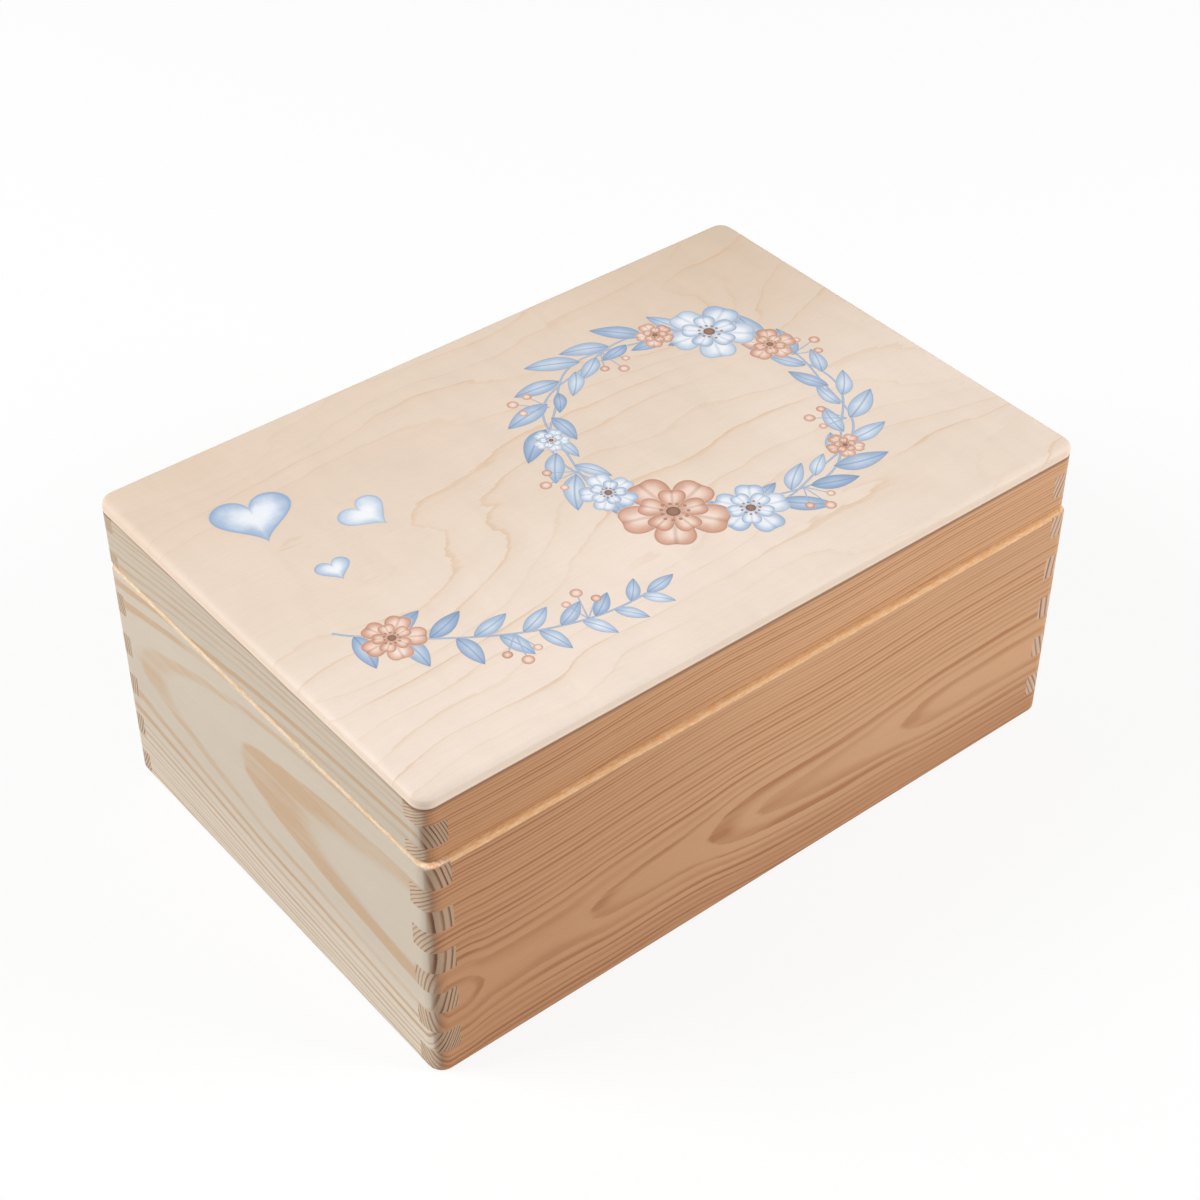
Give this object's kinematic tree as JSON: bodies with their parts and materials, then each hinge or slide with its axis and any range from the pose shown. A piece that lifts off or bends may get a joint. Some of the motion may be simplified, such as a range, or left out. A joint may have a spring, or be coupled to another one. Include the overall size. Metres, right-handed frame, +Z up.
{
  "type": "keepsake box",
  "caption": "Rectangular finger-jointed softwood box with a hinged shallow lid, plywood top and grooved plywood bottom, for papers and keepsakes.",
  "frame": {"origin": "middle of the whole object's bounding box, hinge barrels included, on the surface that the box stands on", "axes": "+Z up, +X along the long front from left to right, +Y from the front towards the hinges"},
  "size_m": [0.3012, 0.2068, 0.1308],
  "materials": {
    "pine": "sanded, bare",
    "pine_side": "sanded, bare",
    "plywood": "sanded, bare",
    "hinge_brass": "satin",
    "pin_steel": "bright",
    "screw_brass": "satin"
  },
  "bodies": {
    "base": {"base_front_board": "pine", "base_back_board": "pine", "base_left_board": "pine_side", "base_right_board": "pine_side", "base_bottom_panel": "plywood", "left_hinge_base_leaf": "hinge_brass", "left_hinge_pin": "pin_steel", "right_hinge_base_leaf": "hinge_brass", "right_hinge_pin": "pin_steel", "left_hinge_base_screws": "screw_brass", "right_hinge_base_screws": "screw_brass"},
    "lid": {"lid_front_rail": "pine", "lid_back_rail": "pine", "lid_left_rail": "pine_side", "lid_right_rail": "pine_side", "lid_top_panel": "plywood", "left_hinge_lid_leaf": "hinge_brass", "right_hinge_lid_leaf": "hinge_brass", "left_hinge_lid_screws": "screw_brass", "right_hinge_lid_screws": "screw_brass"}
  },
  "joints": [
    {"name": "lid_hinge", "type": "hinge", "parent": "base", "child": "lid", "pos_m": [0, 0.1014, 0.10205], "axis": [-1, 0, 0], "range_deg": [0, 180]}
  ]
}
